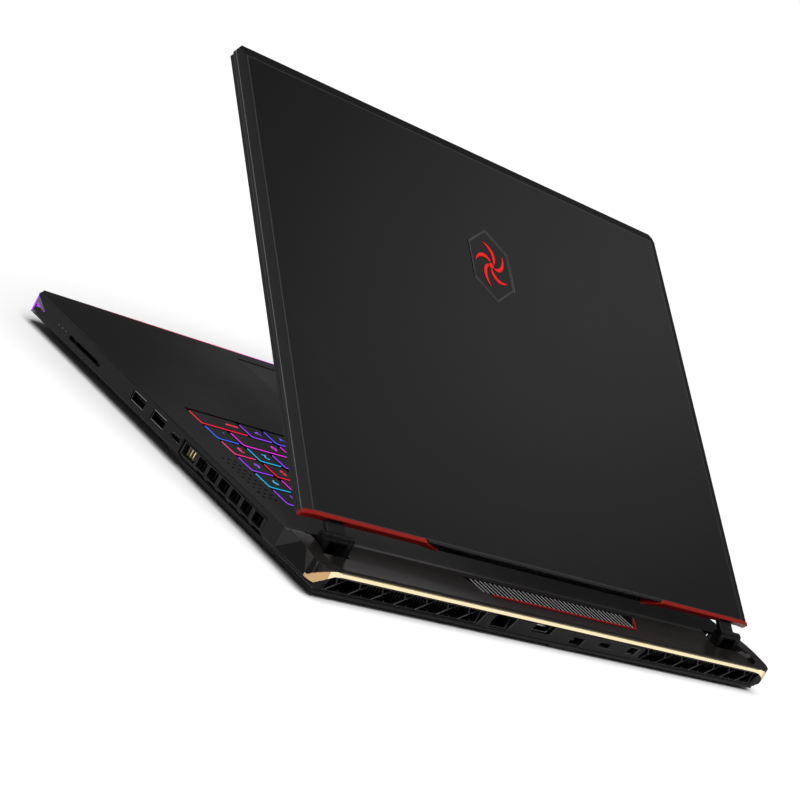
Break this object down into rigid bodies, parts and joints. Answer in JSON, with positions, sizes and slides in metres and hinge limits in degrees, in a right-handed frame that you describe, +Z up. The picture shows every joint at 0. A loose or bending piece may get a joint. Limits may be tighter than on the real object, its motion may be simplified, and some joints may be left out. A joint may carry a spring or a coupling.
{
  "type": "laptop computer",
  "caption": "Part-open dark gaming laptop with a full keyboard, hinged screen lid, rear exhaust block, gold rear trim and working keys, touchpad and fans.",
  "frame": {"origin": "middle of the base's footprint, on the surface it stands on", "axes": "+X to the user's right, +Y to the rear, +Z up"},
  "size_m": [0.38, 0.308, 0.1997],
  "materials": {
    "case_black": "fine matte black",
    "block_satin": "satin black with a warm sheen",
    "trim_gold": "polished champagne gold",
    "rib_grey": "satin dark grey",
    "accent_red": "satin dark red",
    "grille_black": "matte black",
    "light_bar": "lit translucent plastic",
    "key_plate": "matte black",
    "key_cap": "matte black with lit legends",
    "board": "solder mask with parts",
    "drive": "blue board with chips",
    "copper": "bare copper",
    "fins": "copper-coloured fins",
    "fan_black": "matte black",
    "battery_wrap": "satin wrap",
    "port_metal": "satin steel shells",
    "port_black": "moulded black",
    "rubber": "matte rubber",
    "screw_steel": "black steel",
    "pad": "smooth dark glass",
    "lid_metal": "fine dark anodised metal",
    "emblem": "gloss black",
    "lid_gloss": "gloss black",
    "bezel": "fine matte black",
    "screen": "dark glass over the display"
  },
  "bodies": {
    "base": {"bottom_cover": "case_black", "top_case": "case_black", "rear_block": "block_satin", "rear_trim": "trim_gold", "rear_ribs": "rib_grey", "rear_accent": "accent_red", "rear_grille_right": "grille_black", "rear_grille_left": "grille_black", "side_grille_right": "grille_black", "side_grille_left": "grille_black", "front_light_bar": "light_bar", "keyboard_plate": "key_plate", "motherboard": "board", "heat_pipes": "copper", "fin_stack_right": "fins", "fin_stack_left": "fins", "fan_housing_right": "fan_black", "fan_housing_left": "fan_black", "battery": "battery_wrap", "memory_modules": "board", "storage_drive": "drive", "wireless_card": "board", "speaker_right": "fan_black", "speaker_left": "fan_black", "usb_a_sockets": "port_metal", "usb_c_sockets": "port_metal", "card_reader": "port_metal", "network_socket": "port_black", "hdmi_socket": "port_metal", "display_socket": "port_metal", "power_inlet": "port_black", "audio_jack": "port_black", "hinge_base_right": "case_black", "hinge_base_left": "case_black", "rubber_feet": "rubber", "bottom_screws": "screw_steel"},
    "lid": {"lid_cover": "lid_metal", "lid_emblem": "emblem", "lid_trim_right": "accent_red", "lid_trim_left": "accent_red", "lid_rear_bar": "lid_gloss", "display_bezel": "bezel", "display_panel": "screen", "webcam_module": "board", "bezel_bumpers": "rubber", "hinge_arm_right": "screw_steel", "hinge_arm_left": "screw_steel"},
    "keys_function_row": {"keys_function_row": "key_cap"},
    "key_power": {"key_power": "key_cap"},
    "keys_number_row": {"keys_number_row": "key_cap"},
    "keys_upper_row": {"keys_upper_row": "key_cap"},
    "keys_home_row": {"keys_home_row": "key_cap"},
    "keys_lower_row": {"keys_lower_row": "key_cap"},
    "keys_modifier_row": {"keys_modifier_row": "key_cap"},
    "key_space": {"key_space": "key_cap"},
    "keys_arrows": {"keys_arrows": "key_cap"},
    "keys_numpad": {"keys_numpad": "key_cap"},
    "touchpad": {"touchpad": "pad"},
    "fan_right": {"fan_rotor_right": "fan_black"},
    "fan_left": {"fan_rotor_left": "fan_black"}
  },
  "joints": [
    {"name": "lid_hinge", "type": "hinge", "parent": "base", "child": "lid", "pos_m": [0, 0.13, 0.0234], "axis": [-1, 0, 0], "range_deg": [-38, 97]},
    {"name": "keys_function_row_press", "type": "slide", "parent": "base", "child": "keys_function_row", "axis": [0, 0, -1], "range_m": [0, 0.0016], "stiffness_N_per_m": 250, "springref_m": -0.001},
    {"name": "key_power_press", "type": "slide", "parent": "base", "child": "key_power", "axis": [0, 0, -1], "range_m": [0, 0.0016], "stiffness_N_per_m": 250, "springref_m": -0.001},
    {"name": "keys_number_row_press", "type": "slide", "parent": "base", "child": "keys_number_row", "axis": [0, 0, -1], "range_m": [0, 0.0016], "stiffness_N_per_m": 250, "springref_m": -0.001},
    {"name": "keys_upper_row_press", "type": "slide", "parent": "base", "child": "keys_upper_row", "axis": [0, 0, -1], "range_m": [0, 0.0016], "stiffness_N_per_m": 250, "springref_m": -0.001},
    {"name": "keys_home_row_press", "type": "slide", "parent": "base", "child": "keys_home_row", "axis": [0, 0, -1], "range_m": [0, 0.0016], "stiffness_N_per_m": 250, "springref_m": -0.001},
    {"name": "keys_lower_row_press", "type": "slide", "parent": "base", "child": "keys_lower_row", "axis": [0, 0, -1], "range_m": [0, 0.0016], "stiffness_N_per_m": 250, "springref_m": -0.001},
    {"name": "keys_modifier_row_press", "type": "slide", "parent": "base", "child": "keys_modifier_row", "axis": [0, 0, -1], "range_m": [0, 0.0016], "stiffness_N_per_m": 250, "springref_m": -0.001},
    {"name": "key_space_press", "type": "slide", "parent": "base", "child": "key_space", "axis": [0, 0, -1], "range_m": [0, 0.0016], "stiffness_N_per_m": 250, "springref_m": -0.001},
    {"name": "keys_arrows_press", "type": "slide", "parent": "base", "child": "keys_arrows", "axis": [0, 0, -1], "range_m": [0, 0.0016], "stiffness_N_per_m": 250, "springref_m": -0.001},
    {"name": "keys_numpad_press", "type": "slide", "parent": "base", "child": "keys_numpad", "axis": [0, 0, -1], "range_m": [0, 0.0016], "stiffness_N_per_m": 250, "springref_m": -0.001},
    {"name": "touchpad_click", "type": "slide", "parent": "base", "child": "touchpad", "axis": [0, 0, -1], "range_m": [0, 0.0003], "stiffness_N_per_m": 3000, "springref_m": -0.0005},
    {"name": "fan_spin_right", "type": "hinge", "parent": "base", "child": "fan_right", "pos_m": [0.112, 0.062, 0.009], "axis": [0, 0, 1], "continuous": true},
    {"name": "fan_spin_left", "type": "hinge", "parent": "base", "child": "fan_left", "pos_m": [-0.112, 0.062, 0.009], "axis": [0, 0, 1], "continuous": true}
  ]
}
